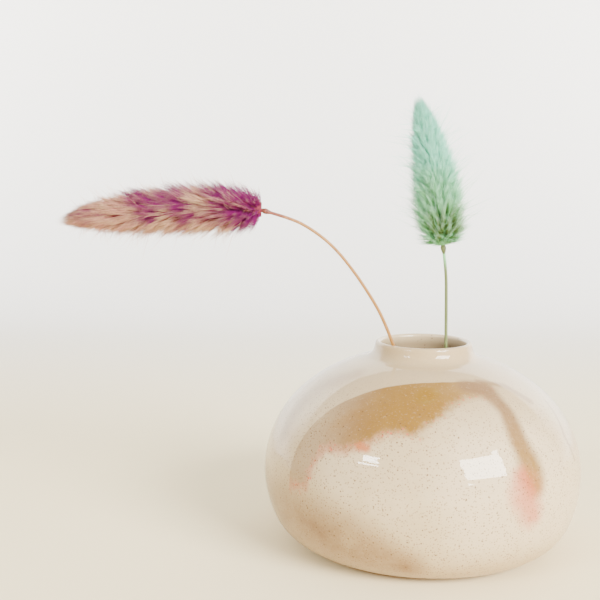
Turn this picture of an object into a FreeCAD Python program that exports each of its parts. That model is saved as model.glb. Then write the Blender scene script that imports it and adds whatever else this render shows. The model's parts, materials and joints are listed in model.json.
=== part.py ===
import FreeCAD, Part
import math
import os

import Sketcher

# Squat ceramic bud vase with two dried bunny-tail grass stems standing in its mouth.
# Frame: origin at the centre of the foot on the table, +Z up, front of the vase towards -Y.
# Lengths are millimetres and angles degrees.

SIZES = [
    # the thrown wall
    ("body_radius", 50.0, "widest radius over the glaze"),
    ("belly_height", 24.0, "height of the widest point"),
    ("belly_round", 38.0, "profile radius just below the widest point"),
    ("underside_round", 15.0, "profile radius that tucks the belly under"),
    ("underside_turn", 22.0, "angle of the belly arc below the widest point"),
    ("shoulder_round", 32.0, "profile radius just above the widest point"),
    ("shoulder_turn", 48.0, "angle of the shoulder arc above the widest point"),
    ("crown_round", 50.0, "profile radius of the flatter crown"),
    ("wall", 4.0, "wall thickness, both glazes included"),
    # neck and lip
    ("collar_height", 4.3, "lip above the crown"),
    ("collar_lean", 10.0, "lean of the collar from upright"),
    ("neck_fillet", 2.0, "outside fillet from crown to collar"),
    ("throat_fillet", 4.5, "inside round from neck to crown"),
    ("lip_radius", 14.4, "radius of the lip's crest"),
    ("lip_round", 0.9, "radius of the rounded lip's section"),
    # glaze and foot
    ("glaze", 0.4, "thickness of each glaze coat"),
    ("glaze_line", 1.8, "height where the outer glaze stops"),
    ("foot_inset", 18.0, "set-back of the foot ring's edge from the widest radius"),
    ("foot_width", 4.0, "width of the foot ring"),
    ("foot_draft", 0.9, "slant of each side of the foot ring"),
    ("foot_recess", 1.3, "depth of the recess inside the foot ring"),
    # dried stems
    ("culm_radius", 0.55, "radius of a grass culm"),
    ("clearance", 0.35, "gap between a culm and what it leans on"),
    ("collar_radius", 0.95, "radius of the swollen collar under a seed head"),
    ("collar_length", 3.0, "length of that collar"),
    ("rachis_radius", 0.45, "radius of the seed head's core"),
    ("rachis_sink", 0.4, "depth of the core in the collar"),
    ("spikelet_length", 6.4, "length of one spikelet"),
    ("spikelet_radius", 0.8, "radius of one spikelet"),
    ("spikelet_tilt", 30.0, "lean of a spikelet from the core"),
    ("spikelet_pitch", 1.9, "rise along the core from one spikelet to the next"),
    ("spikelet_sink", 0.2, "depth of a spikelet's base in the core"),
    ("plume_radius", 7.6, "widest radius of the hairs"),
    ("plume_flat", 2.2, "radius of the flat base of the hairs"),
    ("plume_core", 4.3, "radius of the hollow that holds the spikelets"),
    ("plume_blunt", 5.0, "radius of the rounded tip of the hairs"),
    ("plume_grip", 0.05, "squeeze of the hairs' base on the core"),
    ("rose_head", 59.0, "length of the rose seed head"),
    ("green_head", 43.4, "length of the green seed head"),
    # where the stems stand
    ("rose_seat", 216.0, "direction of the rose culm's seat on the lip"),
    ("rose_ride", 28.0, "height angle of that seat on the lip's round"),
    ("rose_foot_at", 27.6, "direction of the rose culm's foot on the floor"),
    ("rose_foot_out", 14.9, "distance of that foot from the axis"),
    ("green_seat", 295.5, "direction of the green culm's seat on the lip"),
    ("green_ride", 8.0, "height angle of that seat on the lip's round"),
    ("green_foot_at", 328.0, "direction of the green culm's foot on the floor"),
    ("green_foot_out", 8.7, "distance of that foot from the axis"),
]

# Each culm runs straight through its seat, then over points measured from the seat.
ROSE = {
    "name": "rose",
    "straight": 9.5,
    "bends": [(-7.4, -3.7, 15.4), (-13.0, -5.25, 23.7), (-19.6, -6.75, 31.6),
              (-27.2, -8.0, 37.2), (-33.0, -8.8, 39.7), (-38.1, -9.3, 41.1)],
    "head_towards": (-58.5, -2.6, -3.4),
}
GREEN = {
    "name": "green",
    "straight": 19.0,
    "bends": [(-1.0, -2.75, 24.6), (-1.8, -3.15, 30.0)],
    "head_towards": (-8.6, -3.3, 42.3),
}

RUN_SHARE = 0.45        # share of the shorter run that a bend's arc may use
GOLDEN_ANGLE = 137.508  # turn from one spikelet to the next
CORE_TO = 0.8           # share of a seed head's length that holds spikelets
RACHIS_TO = 0.87        # share of that length that the core reaches
UP = FreeCAD.Vector(0, 0, 1)


def fill_sheet(doc):
    """Write every driving size into the spreadsheet and return their values by name."""
    sheet = doc.addObject("Spreadsheet::Sheet", "Sizes")
    for row, (alias, value, note) in enumerate(SIZES, start=1):
        sheet.set(f"A{row}", note)
        sheet.set(f"B{row}", str(value))
        sheet.setAlias(f"B{row}", alias)
    doc.recompute()
    return {alias: float(sheet.get(alias)) for alias, _, _ in SIZES}


def polar(radius, degrees):
    """A point of the profile plane at an angle from the outward direction."""
    angle = math.radians(degrees)
    return FreeCAD.Vector(radius * math.cos(angle), radius * math.sin(angle), 0)


# ---------------------------------------------------------------- vase profile

def wall_frame(s):
    """Centres of the arcs that the outside and the inside of the wall share."""
    belly = FreeCAD.Vector(s["body_radius"] - s["belly_round"], s["belly_height"], 0)
    shoulder = FreeCAD.Vector(s["body_radius"] - s["shoulder_round"], s["belly_height"], 0)
    under = belly + polar(s["belly_round"] - s["underside_round"], -s["underside_turn"])
    crown = shoulder + polar(s["shoulder_round"] - s["crown_round"], s["shoulder_turn"])
    reach = s["lip_radius"] - crown.x
    crown_top = crown.y + math.sqrt(s["crown_round"] ** 2 - reach ** 2)
    rim = crown_top + s["collar_height"]
    lip = FreeCAD.Vector(s["lip_radius"], rim - s["lip_round"], 0)
    return {"belly": belly, "shoulder": shoulder, "under": under, "crown": crown,
            "lip": lip, "rim": rim}


def fillet_centre(s, frame, across, crown_reach):
    """Centre of a fillet between the leaning collar and the crown's arc.

    across is its distance from the collar's middle line, crown_reach that from the crown's centre.
    """
    out = polar(1.0, s["collar_lean"])
    down = FreeCAD.Vector(out.y, -out.x, 0)
    start = frame["lip"] + out * across
    gap = start - frame["crown"]
    half = gap.dot(down)
    down_by = -half - math.sqrt(half ** 2 - gap.dot(gap) + crown_reach ** 2)
    if down_by < 0:
        down_by = -half + math.sqrt(half ** 2 - gap.dot(gap) + crown_reach ** 2)
    return start + down * down_by


def bearing(centre, point):
    """Angle in radians of a point seen from a centre, between 0 and a full turn."""
    return math.atan2(point.y - centre.y, point.x - centre.x) % (2 * math.pi)


class Outline:
    """A closed outline of arcs and lines, drawn into a sketch from end to end."""

    def __init__(self, body, name):
        self.sketch = body.newObject("Sketcher::SketchObject", name)
        plane = next(f for f in body.Origin.OriginFeatures if f.Role == "XZ_Plane")
        self.sketch.AttachmentSupport = [(plane, "")]
        self.sketch.MapMode = "FlatFace"
        self.ends = []

    def arc(self, centre, start, end, upward, size=None, alias=None):
        """Add an arc from start to end; upward arcs turn anticlockwise."""
        circle = Part.Circle(centre, UP, (start - centre).Length)
        first, last = (start, end) if upward else (end, start)
        begin, finish = bearing(centre, first), bearing(centre, last)
        if finish <= begin:
            finish += 2 * math.pi
        index = self.sketch.addGeometry(Part.ArcOfCircle(circle, begin, finish))
        self.ends.append((index, 1 if upward else 2, 2 if upward else 1))
        if alias:
            number = self.sketch.addConstraint(
                Sketcher.Constraint("Radius", index, (start - centre).Length))
            self.bind(number, alias, size)
        return index

    def line(self, start, end):
        """Add a straight run from start to end."""
        index = self.sketch.addGeometry(Part.LineSegment(start, end))
        self.ends.append((index, 1, 2))
        return index

    def bind(self, number, name, formula):
        """Tie a constraint to the spreadsheet."""
        self.sketch.renameConstraint(number, name)
        self.sketch.setExpression(f"Constraints.{name}", formula)

    def measure(self, kind, index, end, value, name, formula):
        """Hold one end of a run at a distance from the origin."""
        number = self.sketch.addConstraint(
            Sketcher.Constraint(kind, -1, 1, index, end, value))
        self.bind(number, name, formula)

    def close(self):
        """Join each run's end to the next run's start."""
        for (index, _, last), (following, first, _) in zip(self.ends, self.ends[1:] + self.ends[:1]):
            self.sketch.addConstraint(
                Sketcher.Constraint("Coincident", index, last, following, first))
        return self.sketch


def revolve(doc, body, outline, name):
    """Turn a closed outline round the upright axis."""
    sketch = outline.close()
    doc.recompute()
    turn = body.newObject("PartDesign::Revolution", name)
    turn.Profile = sketch
    turn.ReferenceAxis = (sketch, ["V_Axis"])
    turn.Angle = 360
    body.Tip = turn


def outside_points(s, frame, depth):
    """Joints of the outside surface, a depth below the glaze, from the belly to the lip."""
    out = polar(1.0, s["collar_lean"])
    fillet = s["neck_fillet"] + depth
    centre = fillet_centre(s, frame, s["lip_round"] + s["neck_fillet"],
                           s["crown_round"] + s["neck_fillet"])
    to_crown = (frame["crown"] - centre).normalize()
    lip_radius = s["lip_round"] - depth
    return {
        "belly_low": frame["belly"] + polar(s["belly_round"] - depth, -s["underside_turn"]),
        "belly": frame["belly"] + polar(s["belly_round"] - depth, 0),
        "shoulder": frame["shoulder"] + polar(s["shoulder_round"] - depth, s["shoulder_turn"]),
        "crown": centre + to_crown * fillet,
        "collar_low": centre - out * fillet,
        "collar": frame["lip"] + out * lip_radius,
        "fillet_centre": centre,
    }


def inside_points(s, frame, depth):
    """Joints of the cavity's surface, a depth behind the inner glaze, from the lip to the floor."""
    out = polar(1.0, s["collar_lean"])
    fillet = s["throat_fillet"] - depth
    centre = fillet_centre(s, frame, s["throat_fillet"] - s["lip_round"],
                           s["crown_round"] - s["wall"] + s["throat_fillet"])
    to_crown = (frame["crown"] - centre).normalize()
    inset = s["wall"] - depth
    floor = frame["under"].y - (s["underside_round"] - inset)
    return {
        "neck": frame["lip"] - out * (s["lip_round"] - depth),
        "neck_low": centre - out * fillet,
        "crown": centre + to_crown * fillet,
        "shoulder": frame["shoulder"] + polar(s["shoulder_round"] - inset, s["shoulder_turn"]),
        "belly": frame["belly"] + polar(s["belly_round"] - inset, 0),
        "belly_low": frame["belly"] + polar(s["belly_round"] - inset, -s["underside_turn"]),
        "floor_edge": FreeCAD.Vector(frame["under"].x, floor, 0),
        "fillet_centre": centre,
    }


def under_point(s, frame, depth, height):
    """The outside surface's point at a height below the belly's low joint."""
    radius = s["underside_round"] - depth
    drop = frame["under"].y - height
    return FreeCAD.Vector(frame["under"].x + math.sqrt(radius ** 2 - drop ** 2), height, 0)


def lip_split(s, frame, depth):
    """Where the two glaze coats meet on the lip, on a slanted line through its centre."""
    return frame["lip"] + polar(s["lip_round"] - depth, 90 + s["collar_lean"])


def draw_outside(s, outline, frame, points, start, tag, depth_text):
    """Draw the outside surface upwards from start to the collar's top."""
    arcs = [
        ("under", start, points["belly_low"], "underside_round"),
        ("belly", points["belly_low"], points["belly"], "belly_round"),
        ("shoulder", points["belly"], points["shoulder"], "shoulder_round"),
        ("crown", points["shoulder"], points["crown"], "crown_round"),
    ]
    for name, first, last, size in arcs:
        outline.arc(frame[name], first, last, True, f"Sizes.{size}{depth_text}", f"{tag}_{name}")
    outline.arc(points["fillet_centre"], points["crown"], points["collar_low"], False)
    outline.line(points["collar_low"], points["collar"])


def draw_outside_down(outline, frame, points, end):
    """Draw the outside surface downwards from the collar's top to end."""
    outline.line(points["collar"], points["collar_low"])
    outline.arc(points["fillet_centre"], points["collar_low"], points["crown"], True)
    outline.arc(frame["crown"], points["crown"], points["shoulder"], False)
    outline.arc(frame["shoulder"], points["shoulder"], points["belly"], False)
    outline.arc(frame["belly"], points["belly"], points["belly_low"], False)
    outline.arc(frame["under"], points["belly_low"], end, False)


def draw_inside(outline, frame, points):
    """Draw the cavity's surface downwards from the neck to the middle of the floor."""
    outline.line(points["neck"], points["neck_low"])
    outline.arc(points["fillet_centre"], points["neck_low"], points["crown"], True)
    outline.arc(frame["crown"], points["crown"], points["shoulder"], False)
    outline.arc(frame["shoulder"], points["shoulder"], points["belly"], False)
    outline.arc(frame["belly"], points["belly"], points["belly_low"], False)
    outline.arc(frame["under"], points["belly_low"], points["floor_edge"], False)
    outline.line(points["floor_edge"], FreeCAD.Vector(0, points["floor_edge"].y, 0))


def draw_inside_up(outline, frame, points):
    """Draw the cavity's surface upwards from the middle of the floor to the neck."""
    outline.line(FreeCAD.Vector(0, points["floor_edge"].y, 0), points["floor_edge"])
    outline.arc(frame["under"], points["floor_edge"], points["belly_low"], True)
    outline.arc(frame["belly"], points["belly_low"], points["belly"], True)
    outline.arc(frame["shoulder"], points["belly"], points["shoulder"], True)
    outline.arc(frame["crown"], points["shoulder"], points["crown"], True)
    outline.arc(points["fillet_centre"], points["crown"], points["neck_low"], False)
    outline.line(points["neck_low"], points["neck"])


def new_body(doc, label):
    """A PartDesign body whose label names its sub-part."""
    body = doc.addObject("PartDesign::Body", label)
    body.Label = label
    body.Placement = FreeCAD.Placement()
    return body


def build_stoneware(doc, s, frame):
    """The thrown and trimmed clay wall with its bare foot ring."""
    body = new_body(doc, "stoneware_body")
    outline = Outline(body, "stoneware_outline")
    outside = outside_points(s, frame, s["glaze"])
    inside = inside_points(s, frame, s["glaze"])
    ring_out = s["body_radius"] - s["foot_inset"]
    ring_in = ring_out - s["foot_width"]
    under = frame["under"]
    meet_x = ring_out + s["foot_draft"]
    clay_round = s["underside_round"] - s["glaze"]
    meet = FreeCAD.Vector(meet_x, under.y - math.sqrt(clay_round ** 2 - (meet_x - under.x) ** 2), 0)
    draw_outside(s, outline, frame, outside, meet, "clay", " - Sizes.glaze")
    outline.arc(frame["lip"], outside["collar"], inside["neck"], True,
                "Sizes.lip_round - Sizes.glaze", "clay_lip")
    draw_inside(outline, frame, inside)
    foot = [
        FreeCAD.Vector(0, inside["floor_edge"].y, 0),
        FreeCAD.Vector(0, s["foot_recess"], 0),
        FreeCAD.Vector(ring_in - s["foot_draft"], s["foot_recess"], 0),
        FreeCAD.Vector(ring_in, 0, 0),
        FreeCAD.Vector(ring_out, 0, 0),
        meet,
    ]
    runs = [outline.line(first, last) for first, last in zip(foot, foot[1:])]
    outline.measure("DistanceY", runs[1], 1, s["foot_recess"], "recess", "Sizes.foot_recess")
    outline.measure("DistanceX", runs[3], 1, ring_in, "ring_in",
                    "Sizes.body_radius - Sizes.foot_inset - Sizes.foot_width")
    outline.measure("DistanceX", runs[3], 2, ring_out, "ring_out",
                    "Sizes.body_radius - Sizes.foot_inset")
    revolve(doc, body, outline, "stoneware_turn")
    return body


def build_outer_glaze(doc, s, frame):
    """The glaze coat outside, from just above the foot to the lip."""
    body = new_body(doc, "outer_glaze")
    outline = Outline(body, "outer_glaze_outline")
    skin = outside_points(s, frame, 0)
    clay = outside_points(s, frame, s["glaze"])
    skin_foot = under_point(s, frame, 0, s["glaze_line"])
    clay_foot = under_point(s, frame, s["glaze"], s["glaze_line"])
    draw_outside(s, outline, frame, skin, skin_foot, "skin", "")
    skin_split = lip_split(s, frame, 0)
    clay_split = lip_split(s, frame, s["glaze"])
    outline.arc(frame["lip"], skin["collar"], skin_split, True, "Sizes.lip_round", "skin_lip")
    outline.line(skin_split, clay_split)
    outline.arc(frame["lip"], clay_split, clay["collar"], False)
    draw_outside_down(outline, frame, clay, clay_foot)
    outline.line(clay_foot, skin_foot)
    revolve(doc, body, outline, "outer_glaze_turn")
    return body


def build_inner_glaze(doc, s, frame):
    """The glaze coat inside, from the lip down over the floor."""
    body = new_body(doc, "inner_glaze")
    outline = Outline(body, "inner_glaze_outline")
    skin = inside_points(s, frame, 0)
    clay = inside_points(s, frame, s["glaze"])
    skin_split = lip_split(s, frame, 0)
    clay_split = lip_split(s, frame, s["glaze"])
    outline.arc(frame["lip"], skin_split, skin["neck"], True, "Sizes.lip_round", "throat_lip")
    draw_inside(outline, frame, skin)
    outline.line(FreeCAD.Vector(0, skin["floor_edge"].y, 0), FreeCAD.Vector(0, clay["floor_edge"].y, 0))
    draw_inside_up(outline, frame, clay)
    outline.arc(frame["lip"], clay["neck"], clay_split, False)
    outline.line(clay_split, skin_split)
    revolve(doc, body, outline, "inner_glaze_turn")
    return body


# ---------------------------------------------------------------- dried stems

def seat_point(s, frame, stem):
    """Where a culm's centre line passes the lip, one clearance off its round."""
    off = s["lip_round"] + s["culm_radius"] + s["clearance"]
    ride = math.radians(s[f"{stem}_ride"])
    seat = polar(s["lip_radius"] - off * math.cos(ride), s[f"{stem}_seat"])
    return FreeCAD.Vector(seat.x, seat.y, frame["lip"].y + off * math.sin(ride))


def foot_point(s, frame, stem):
    """Where a culm's cut end stands, one clearance above the glazed floor."""
    floor = inside_points(s, frame, 0)["floor_edge"].y
    foot = polar(s[f"{stem}_foot_out"], s[f"{stem}_foot_at"])
    return FreeCAD.Vector(foot.x, foot.y, floor + s["clearance"] + s["culm_radius"])


def culm_route(s, frame, stem):
    """The culm's corner points from its foot to its seed head."""
    seat = seat_point(s, frame, stem["name"])
    foot = foot_point(s, frame, stem["name"])
    along = (seat - foot).normalize()
    bends = [seat + FreeCAD.Vector(*bend) for bend in stem["bends"]]
    return [foot, seat + along * stem["straight"]] + bends


def rounded_wire(route):
    """Straight runs joined by tangent arcs through a route's corner points."""
    edges = []
    here = route[0]
    for before, corner, after in zip(route, route[1:], route[2:]):
        back, ahead = before - corner, after - corner
        reach = RUN_SHARE * min(back.Length, ahead.Length)
        back.normalize()
        ahead.normalize()
        enter, leave = corner + back * reach, corner + ahead * reach
        half_turn = (math.pi - back.getAngle(ahead)) / 2
        inward = (back + ahead).normalize()
        middle = corner + inward * (reach * (1 / math.cos(half_turn) - 1) / math.tan(half_turn))
        edges.append(Part.LineSegment(here, enter).toShape())
        edges.append(Part.Arc(enter, middle, leave).toShape())
        here = leave
    edges.append(Part.LineSegment(here, route[-1]).toShape())
    return Part.Wire(edges)


def end_direction(route):
    """Unit direction in which a route ends."""
    return (route[-1] - route[-2]).normalize()


def place(feature, base, direction):
    """Stand a piece modelled along +Z at a point, along a direction."""
    feature.Placement = FreeCAD.Placement(base, FreeCAD.Rotation(UP, direction))


def build_culm(doc, s, route, label):
    """The straw itself: one round section swept along the route."""
    wire = rounded_wire(route)
    section = Part.Wire(Part.makeCircle(s["culm_radius"], route[0], route[1] - route[0]))
    culm = doc.addObject("Part::Feature", label)
    culm.Label = label
    culm.Shape = wire.makePipeShell([section], True, True)
    culm.Placement = FreeCAD.Placement()
    expected = math.pi * s["culm_radius"] ** 2 * wire.Length
    if abs(culm.Shape.Volume / expected - 1) > 0.01:
        raise RuntimeError(f"{label} has lost volume along its route")
    return culm


def build_collar(doc, s, base, direction, label):
    """The swollen node under the seed head."""
    body = new_body(doc, label)
    outline = Outline(body, f"{label}_outline")
    length, waist, swell = s["collar_length"], s["culm_radius"], s["collar_radius"]
    ends = [(0, 0), (waist, 0), (swell, length / 3), (swell, length * 2 / 3), (waist, length),
            (0, length)]
    corners = [FreeCAD.Vector(x, z, 0) for x, z in ends]
    runs = [outline.line(a, b) for a, b in zip(corners, corners[1:] + corners[:1])]
    top = runs[4]
    outline.measure("DistanceX", top, 1, waist, "waist", "Sizes.culm_radius")
    outline.measure("DistanceY", top, 1, length, "length", "Sizes.collar_length")
    revolve(doc, body, outline, f"{label}_turn")
    place(body, base, direction)
    return body


def build_rachis(doc, s, base, direction, length, label):
    """The thin core that carries the spikelets."""
    rachis = doc.addObject("Part::Cylinder", label)
    rachis.Label = label
    rachis.setExpression("Radius", "Sizes.rachis_radius")
    rachis.Height = length
    place(rachis, base, direction)
    return rachis


def spikelet(s):
    """One seed husk: a tapered solid with its base at the origin, along +Z."""
    length, radius = s["spikelet_length"], s["spikelet_radius"]
    side = [(0, 0), (radius * 0.6, length * 0.15), (radius, length * 0.4),
            (radius * 0.65, length * 0.75), (0, length)]
    corners = [FreeCAD.Vector(x, 0, z) for x, z in side]
    face = Part.Face(Part.makePolygon(corners + corners[:1]))
    return face.revolve(FreeCAD.Vector(0, 0, 0), UP, 360)


def build_spikelets(doc, s, base, direction, length, label):
    """Spikelets climbing a head of this length, each a golden angle round from the last."""
    tilt = math.radians(s["spikelet_tilt"])
    lean = FreeCAD.Vector(math.sin(tilt), 0, math.cos(tilt))
    root = s["rachis_radius"] - s["spikelet_sink"]
    first = s["rachis_sink"] + s["clearance"] + s["spikelet_radius"] + s["rachis_radius"]
    last = length * CORE_TO - s["spikelet_length"] * math.cos(tilt)
    count = int((last - first) / s["spikelet_pitch"]) + 1
    husks = []
    for number in range(count):
        husk = spikelet(s)
        rise = first + number * s["spikelet_pitch"]
        husk.Placement = FreeCAD.Placement(FreeCAD.Vector(root, 0, rise),
                                           FreeCAD.Rotation(UP, lean))
        turn = FreeCAD.Placement(FreeCAD.Vector(), FreeCAD.Rotation(UP, number * GOLDEN_ANGLE))
        husk.Placement = turn.multiply(husk.Placement)
        husks.append(husk)
    group = doc.addObject("Part::Feature", label)
    group.Label = label
    group.Shape = Part.makeCompound(husks)
    place(group, base, direction)
    return group


def build_plume(doc, s, base, direction, length, label):
    """The soft hairs as one hollow spindle, gripping the core at its base."""
    body = new_body(doc, label)
    outline = Outline(body, f"{label}_outline")
    grip = s["rachis_radius"] - s["plume_grip"]
    low = s["rachis_sink"] + s["clearance"]
    shelf = low + s["spikelet_radius"]
    core = s["plume_core"]
    base_round = s["plume_radius"] - s["plume_flat"]
    flat_edge = FreeCAD.Vector(s["plume_flat"], low, 0)
    base_centre = FreeCAD.Vector(s["plume_flat"], low + base_round, 0)
    widest = FreeCAD.Vector(s["plume_radius"], low + base_round, 0)
    cap_centre = FreeCAD.Vector(0, length - s["plume_blunt"], 0)
    blunt = FreeCAD.Vector(s["plume_blunt"], cap_centre.y, 0)
    tip = FreeCAD.Vector(0, length, 0)
    inner_top = FreeCAD.Vector(0, length * (CORE_TO + 1) / 2 + s["rachis_radius"], 0)
    inner_shoulder = FreeCAD.Vector(core, length * CORE_TO, 0)
    inner_base = FreeCAD.Vector(core, shelf + core / 2, 0)
    bore_top = FreeCAD.Vector(grip, shelf, 0)
    bore_foot = FreeCAD.Vector(grip, low, 0)
    outline.line(bore_foot, flat_edge)
    outline.arc(base_centre, flat_edge, widest, True)
    outline.line(widest, blunt)
    outline.arc(cap_centre, blunt, tip, True)
    outline.line(tip, inner_top)
    outline.line(inner_top, inner_shoulder)
    outline.line(inner_shoulder, inner_base)
    outline.line(inner_base, bore_top)
    bore = outline.line(bore_top, bore_foot)
    outline.measure("DistanceX", bore, 1, grip, "grip", "Sizes.rachis_radius - Sizes.plume_grip")
    revolve(doc, body, outline, f"{label}_turn")
    place(body, base, direction)
    return body


def build_stem(doc, s, frame, stem):
    """One dried stem: culm, collar, core, spikelets and soft hairs."""
    name = stem["name"]
    route = culm_route(s, frame, stem)
    ahead = end_direction(route)
    towards = FreeCAD.Vector(*stem["head_towards"]).normalize()
    culm = build_culm(doc, s, route, f"{name}_culm")
    collar = build_collar(doc, s, route[-1], ahead, f"{name}_collar")
    base = route[-1] + ahead * s["collar_length"] - towards * s["rachis_sink"]
    head = s[f"{name}_head"]
    rachis = build_rachis(doc, s, base, towards, head * RACHIS_TO, f"{name}_rachis")
    husks = build_spikelets(doc, s, base, towards, head, f"{name}_spikelets")
    plume = build_plume(doc, s, base, towards, head, f"{name}_plume")
    return [culm, collar, rachis, husks, plume]


# ---------------------------------------------------------------- whole object

def check(doc, parts):
    """Stop if any object failed or any sub-part's shape is not usable."""
    for item in doc.Objects:
        if "Invalid" in item.State or "Error" in item.State:
            raise RuntimeError(f"{item.Label} failed: {item.State}")
    for part in parts:
        if part.Shape.isNull() or not part.Shape.isValid():
            raise RuntimeError(f"{part.Label} has no valid shape")


def main():
    """Build every sub-part and write its solids."""
    doc = FreeCAD.newDocument("bud_vase")
    s = fill_sheet(doc)
    frame = wall_frame(s)
    parts = [build_stoneware(doc, s, frame), build_outer_glaze(doc, s, frame),
             build_inner_glaze(doc, s, frame)]
    for stem in (ROSE, GREEN):
        parts += build_stem(doc, s, frame, stem)
    doc.recompute()
    check(doc, parts)
    os.makedirs("parts", exist_ok=True)
    for part in parts:
        part.Shape.exportStep(f"parts/{part.Label}.step")
        box = part.Shape.optimalBoundingBox()
        print(f"{part.Label}: {len(part.Shape.Solids)} solid(s), {part.Shape.Volume:.1f} mm3, "
              f"x {box.XMin:.1f}..{box.XMax:.1f} y {box.YMin:.1f}..{box.YMax:.1f} "
              f"z {box.ZMin:.1f}..{box.ZMax:.1f}")


main()
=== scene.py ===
import json
import math

import bpy
import numpy as np
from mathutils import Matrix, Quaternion, Vector


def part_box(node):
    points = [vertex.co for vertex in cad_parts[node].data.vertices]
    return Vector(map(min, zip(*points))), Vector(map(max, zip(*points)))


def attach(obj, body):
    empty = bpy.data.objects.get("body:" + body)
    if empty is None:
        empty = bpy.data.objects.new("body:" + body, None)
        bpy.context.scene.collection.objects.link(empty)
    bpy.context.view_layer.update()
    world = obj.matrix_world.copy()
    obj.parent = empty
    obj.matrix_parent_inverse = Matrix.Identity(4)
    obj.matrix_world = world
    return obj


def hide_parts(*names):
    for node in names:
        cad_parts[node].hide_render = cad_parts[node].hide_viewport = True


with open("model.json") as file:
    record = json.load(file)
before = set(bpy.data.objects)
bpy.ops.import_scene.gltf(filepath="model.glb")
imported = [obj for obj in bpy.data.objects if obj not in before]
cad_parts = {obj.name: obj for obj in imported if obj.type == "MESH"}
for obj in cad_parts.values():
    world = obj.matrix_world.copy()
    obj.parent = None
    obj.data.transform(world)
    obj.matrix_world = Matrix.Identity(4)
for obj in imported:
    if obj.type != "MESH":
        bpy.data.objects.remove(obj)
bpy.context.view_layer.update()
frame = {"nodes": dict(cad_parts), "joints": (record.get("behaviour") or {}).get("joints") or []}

bl_info = {
    "name": "Glazed Bud Vase",
    "version": (1, 0, 0),
    "blender": (4, 5, 0),
    "location": "View3D > Sidebar > Bud Vase",
    "description": "Squat glazed stoneware bud vase with two dried bunny-tail grass stems",
    "category": "Add Mesh",
}

MM = 0.001
GOLDEN_ANGLE = math.radians(137.508)
VASE_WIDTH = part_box("outer_glaze")[1].x * 2
RIM_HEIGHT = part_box("outer_glaze")[1].z
FOOT_RADIUS = 32.0 * MM
FAR = 9.0       # largest value that a mark's field takes


# ------------------------------------------------------------------ settings

def length(title, note, millimetres):
    """A length setting, given in millimetres and kept in metres."""
    return bpy.props.FloatProperty(name=title, description=note, default=millimetres * MM,
                                   unit="LENGTH", precision=5)


def colour(title, note, red, green, blue):
    """A colour setting with linear values."""
    return bpy.props.FloatVectorProperty(name=title, description=note, subtype="COLOR", size=3,
                                         min=0.0, max=1.0, default=(red, green, blue))


def amount(title, note, value):
    """A plain number setting."""
    return bpy.props.FloatProperty(name=title, description=note, default=value)


def count(title, note, value):
    """A whole number setting."""
    return bpy.props.IntProperty(name=title, description=note, default=value, min=1)


class VaseSizes(bpy.types.PropertyGroup):
    body_radius: bpy.props.FloatProperty(
        name="Body radius", description="Widest radius over the glaze",
        default=VASE_WIDTH / 2, unit="LENGTH")
    rim_height: bpy.props.FloatProperty(
        name="Rim height", description="Height of the lip's crest",
        default=RIM_HEIGHT, unit="LENGTH")
    belly_height: length("Belly height", "Height of the widest point", 24.0)
    belly_round: length("Belly round", "Profile radius below the widest point", 38.0)
    underside_round: length("Underside round", "Profile radius of the tuck to the foot", 15.0)
    shoulder_round: length("Shoulder round", "Profile radius above the widest point", 32.0)
    crown_round: length("Crown round", "Profile radius of the flatter crown", 50.0)
    wall: length("Wall", "Wall thickness with both glazes", 4.0)
    neck_fillet: length("Neck fillet", "Outside round from crown to collar", 4.2)
    throat_fillet: length("Throat fillet", "Inside round from neck to crown", 4.5)
    lip_radius: length("Lip radius", "Radius of the lip's crest", 14.4)
    lip_round: length("Lip round", "Radius of the lip's section", 0.9)
    glaze: length("Glaze", "Thickness of the glaze coat", 0.4)
    glaze_line: length("Glaze line", "Height where the outside glaze stops", 1.8)
    throwing_ring: length("Throwing ring", "Height of the faint finger ridges", 0.018)
    around: count("Facets around", "Steps round the vase", 256)


class GlazeColours(bpy.types.PropertyGroup):
    cream: colour("Cream", "Main glaze colour", 0.53, 0.40, 0.225)
    shell: colour("Shell", "Lighter patches of the glaze", 0.62, 0.485, 0.30)
    sand: colour("Sand", "Warmer glaze on the shoulder", 0.40, 0.275, 0.135)
    ochre: colour("Ochre", "Thick iron glaze of the crescent", 0.23, 0.115, 0.012)
    umber: colour("Umber", "Brown of the thin runs", 0.215, 0.115, 0.045)
    rose: colour("Rose", "Pink blush where the run pools", 0.52, 0.115, 0.055)
    speck: colour("Speck", "Iron specks in the clay", 0.10, 0.045, 0.018)
    ember: colour("Ember", "Small orange spot under the crescent", 0.46, 0.13, 0.035)
    throat: colour("Throat", "Shaded glaze inside the neck", 0.20, 0.135, 0.07)
    clay: colour("Clay", "Bare stoneware of the foot", 0.34, 0.20, 0.10)


class StemColours(bpy.types.PropertyGroup):
    straw: colour("Straw", "Dried straw of the rose stem", 0.32, 0.145, 0.026)
    russet: colour("Russet", "Reddish end of the rose stem", 0.20, 0.045, 0.025)
    sage: colour("Sage", "Straw of the green stem", 0.11, 0.14, 0.045)
    magenta: colour("Magenta", "Strongest dye of the rose head", 0.20, 0.002, 0.115)
    crimson: colour("Crimson", "Shadowed roots of the rose head", 0.15, 0.006, 0.025)
    blush: colour("Blush", "Pale pink hairs", 0.62, 0.19, 0.21)
    wheat: colour("Wheat", "Undyed hair tips", 0.76, 0.52, 0.30)
    leaf: colour("Leaf", "Green dye near the base", 0.20, 0.55, 0.24)
    aqua: colour("Aqua", "Turquoise dye near the tip", 0.20, 0.74, 0.56)
    olive: colour("Olive", "Olive patch at the base", 0.13, 0.20, 0.03)
    mist: colour("Mist", "Pale tips of the green hairs", 0.45, 0.76, 0.58)


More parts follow.
